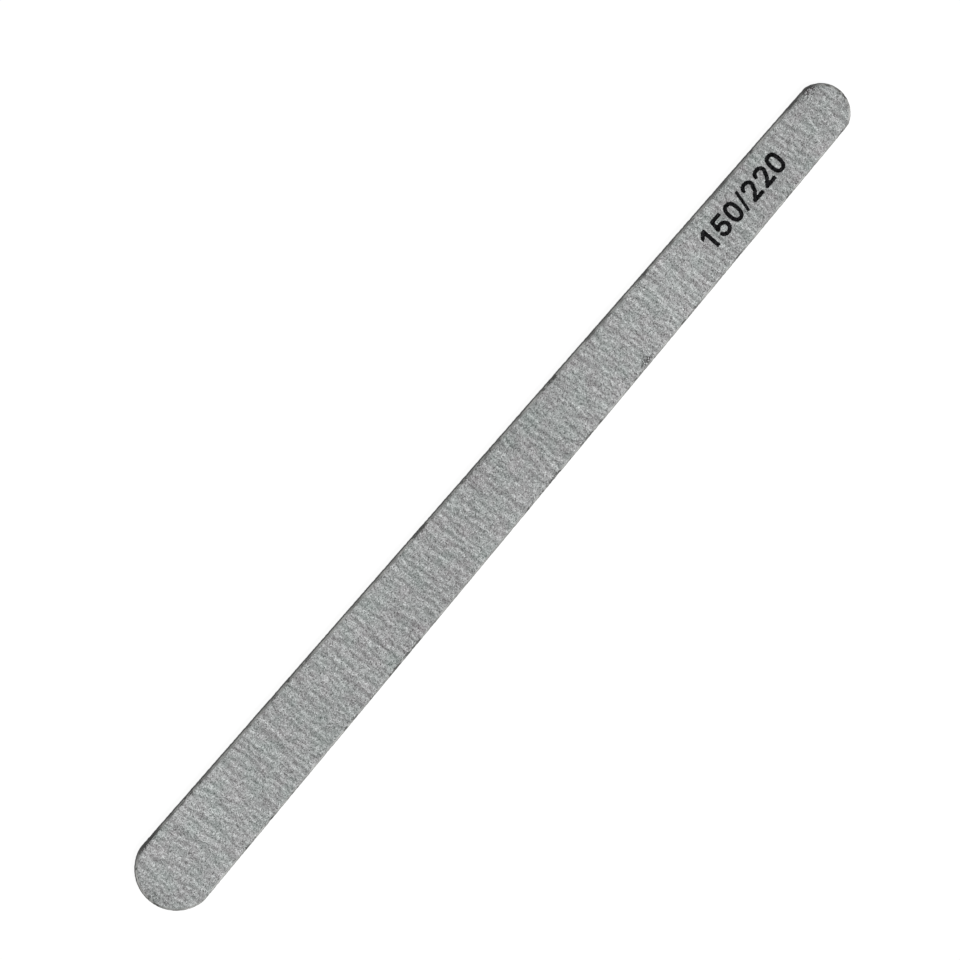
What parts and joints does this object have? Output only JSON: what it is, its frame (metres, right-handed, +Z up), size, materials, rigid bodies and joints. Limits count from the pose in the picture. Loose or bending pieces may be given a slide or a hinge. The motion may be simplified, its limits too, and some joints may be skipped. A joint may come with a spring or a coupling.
{
  "type": "emery board",
  "caption": "Tapered flat emery board with rounded ends and softened rims: a stiff plastic core laminated between a coarse and a fine abrasive paper.",
  "frame": {"origin": "on the resting face, midway along the board's length and midway across it", "axes": "+X along the board from the wide end to the narrow end, +Y across it, +Z up out of the coarse face"},
  "size_m": [0.178, 0.014, 0.0021],
  "materials": {
    "coarse_grain": "grey abrasive grain of a coarse grit, matt and sparkling slightly, with faint wavy streaks across the board",
    "fine_grain": "grey abrasive grain of a fine grit, matt and more even than the coarse face",
    "bond_resin": "grey cured resin that shows as a thin line round the rim, with dark chips",
    "backing_paper": "dense grey paper with a fibrous die-cut edge and a few dark chips",
    "mounting_tape": "cloudy adhesive film, slightly tacky at its cut edge",
    "core_plastic": "dark grey plastic with fine upright marks from the die on its cut edge"
  },
  "bodies": {
    "root": {"fine_grain_coat": "fine_grain", "fine_bond_coat": "bond_resin", "fine_backing_paper": "backing_paper", "fine_mounting_tape": "mounting_tape", "core_strip": "core_plastic", "coarse_mounting_tape": "mounting_tape", "coarse_backing_paper": "backing_paper", "coarse_bond_coat": "bond_resin", "coarse_grain_coat": "coarse_grain"}
  },
  "joints": []
}
